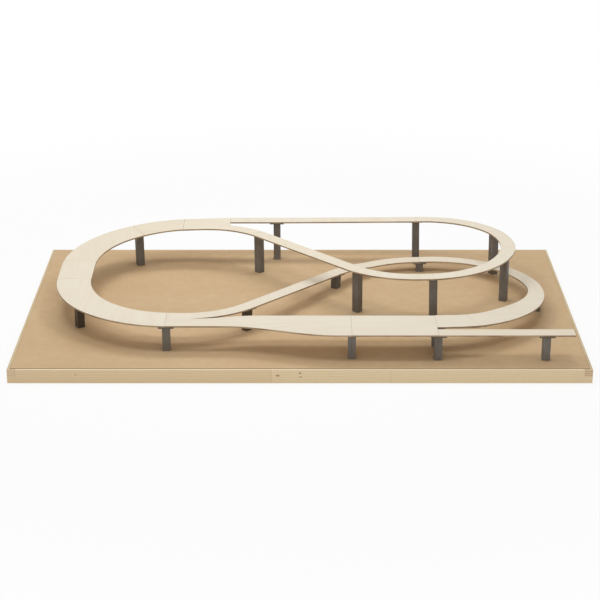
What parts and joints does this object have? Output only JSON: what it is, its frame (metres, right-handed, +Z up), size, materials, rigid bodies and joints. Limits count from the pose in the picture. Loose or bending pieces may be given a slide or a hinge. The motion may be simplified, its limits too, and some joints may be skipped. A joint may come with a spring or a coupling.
{
  "type": "model track section",
  "caption": "Framed baseboard with an unpainted plywood roadbed: a double-track loop splits into high and low single loops that cross, on square posts, with a station strip and siding.",
  "frame": {"origin": "middle of the frame's underside", "axes": "+X along the long side to the right, +Y from the front (station) edge to the back, +Z up"},
  "size_m": [2.2, 1.32, 0.25],
  "materials": {
    "roadbed_ply": "sanded pale plywood, matt",
    "base_board": "raw fibreboard, matt",
    "frame_wood": "planed softwood, matt",
    "support_grey": "grey stained block, matt"
  },
  "bodies": {
    "root": {"base_panel": "base_board", "cap_01": "support_grey", "cap_02": "support_grey", "cap_03": "support_grey", "cap_04": "support_grey", "cap_05": "support_grey", "cap_06": "support_grey", "cap_07": "support_grey", "cap_08": "support_grey", "cap_09": "support_grey", "cap_10": "support_grey", "cap_11": "support_grey", "cap_12": "support_grey", "cap_13": "support_grey", "cap_14": "support_grey", "cap_15": "support_grey", "cap_16": "support_grey", "cap_17": "support_grey", "crossing_east": "roadbed_ply", "crossing_west": "roadbed_ply", "high_curve_back": "roadbed_ply", "high_curve_front": "roadbed_ply", "high_curve_side": "roadbed_ply", "high_straight_back": "roadbed_ply", "junction_back": "roadbed_ply", "left_curve_back": "roadbed_ply", "left_curve_front": "roadbed_ply", "left_curve_side": "roadbed_ply", "left_straight": "roadbed_ply", "low_curve_back": "roadbed_ply", "low_curve_front": "roadbed_ply", "low_curve_side": "roadbed_ply", "post_01": "support_grey", "post_02": "support_grey", "post_03": "support_grey", "post_04": "support_grey", "post_05": "support_grey", "post_06": "support_grey", "post_07": "support_grey", "post_08": "support_grey", "post_09": "support_grey", "post_10": "support_grey", "post_11": "support_grey", "post_12": "support_grey", "post_13": "support_grey", "post_14": "support_grey", "post_15": "support_grey", "post_16": "support_grey", "post_17": "support_grey", "post_18": "support_grey", "rail_back": "frame_wood", "rail_front": "frame_wood", "rail_left": "frame_wood", "rail_right": "frame_wood", "ramp_east": "roadbed_ply", "ramp_west": "roadbed_ply", "siding": "roadbed_ply", "splice_low": "support_grey", "station_east": "roadbed_ply", "station_west": "roadbed_ply"}
  },
  "joints": []
}
